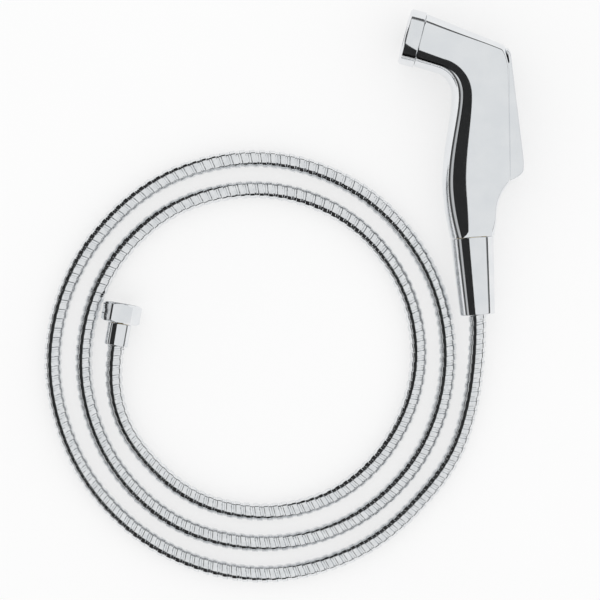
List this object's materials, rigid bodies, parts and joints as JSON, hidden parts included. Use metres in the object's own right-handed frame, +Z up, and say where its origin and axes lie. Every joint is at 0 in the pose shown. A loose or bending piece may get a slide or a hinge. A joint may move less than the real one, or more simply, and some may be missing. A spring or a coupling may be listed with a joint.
{
  "type": "handheld bidet shower",
  "caption": "Chromed trigger bidet shower with round angled head, rear lever, cone nut and a coiled two metre spiral metal hose ending in a loose hex nut.",
  "frame": {"origin": "on the floor below the middle of the handset's box, without the hose and what is on its far end", "axes": "+Z up from the floor that it lies on, +Y up the handle along the hose inlet's axis, +X from the spray side to the lever side"},
  "size_m": [0.3367, 0.382, 0.0387],
  "materials": {
    "chromed_body": "bright chrome on moulded plastic",
    "chromed_trim": "bright chrome",
    "hose_steel": "bright wound steel strip",
    "plain_steel": "plain stainless",
    "bare_brass": "machined",
    "white_resin": "moulded",
    "dark_rubber": "moulded",
    "spray_face": "satin moulded"
  },
  "bodies": {
    "shower": {"body_shell": "chromed_body", "head_collar": "chromed_trim", "spray_plate": "spray_face", "plate_gasket": "dark_rubber", "outlet_tube": "white_resin", "outlet_seal": "dark_rubber", "valve_body": "white_resin", "hinge_pin": "plain_steel", "valve_gland": "bare_brass", "gland_seal": "dark_rubber", "return_spring": "plain_steel", "inlet_nipple": "bare_brass", "nipple_seal": "dark_rubber", "cone_nut": "chromed_trim", "cone_washer": "dark_rubber", "upper_insert": "bare_brass", "upper_sleeve": "plain_steel", "hose": "hose_steel", "lower_ferrule": "chromed_trim", "lower_insert": "bare_brass", "nut_washer": "dark_rubber"},
    "lever": {"lever": "chromed_body"},
    "stem": {"valve_stem": "plain_steel", "valve_seal": "dark_rubber"},
    "nut": {"hex_nut": "chromed_trim"}
  },
  "joints": [
    {"name": "lever_hinge", "type": "hinge", "parent": "shower", "child": "lever", "pos_m": [0.0287, 0.06565, 0.01874], "axis": [0, 0.0279, -0.9996], "range_deg": [0, 4], "stiffness_Nm_per_rad": 5, "springref_deg": -2.86},
    {"name": "stem_slide", "type": "slide", "parent": "shower", "child": "stem", "axis": [-1, 0, 0], "range_m": [0, 0.00384], "deforming": ["return_spring"]},
    {"name": "nut_spin", "type": "hinge", "parent": "shower", "child": "nut", "pos_m": [-0.24044, -0.08535, 0.012], "axis": [0.2487, 0.9686, 0], "continuous": true}
  ],
  "couplings": [
    {"joint": "stem_slide", "follows": "lever_hinge", "m_per_rad": 0.055}
  ]
}
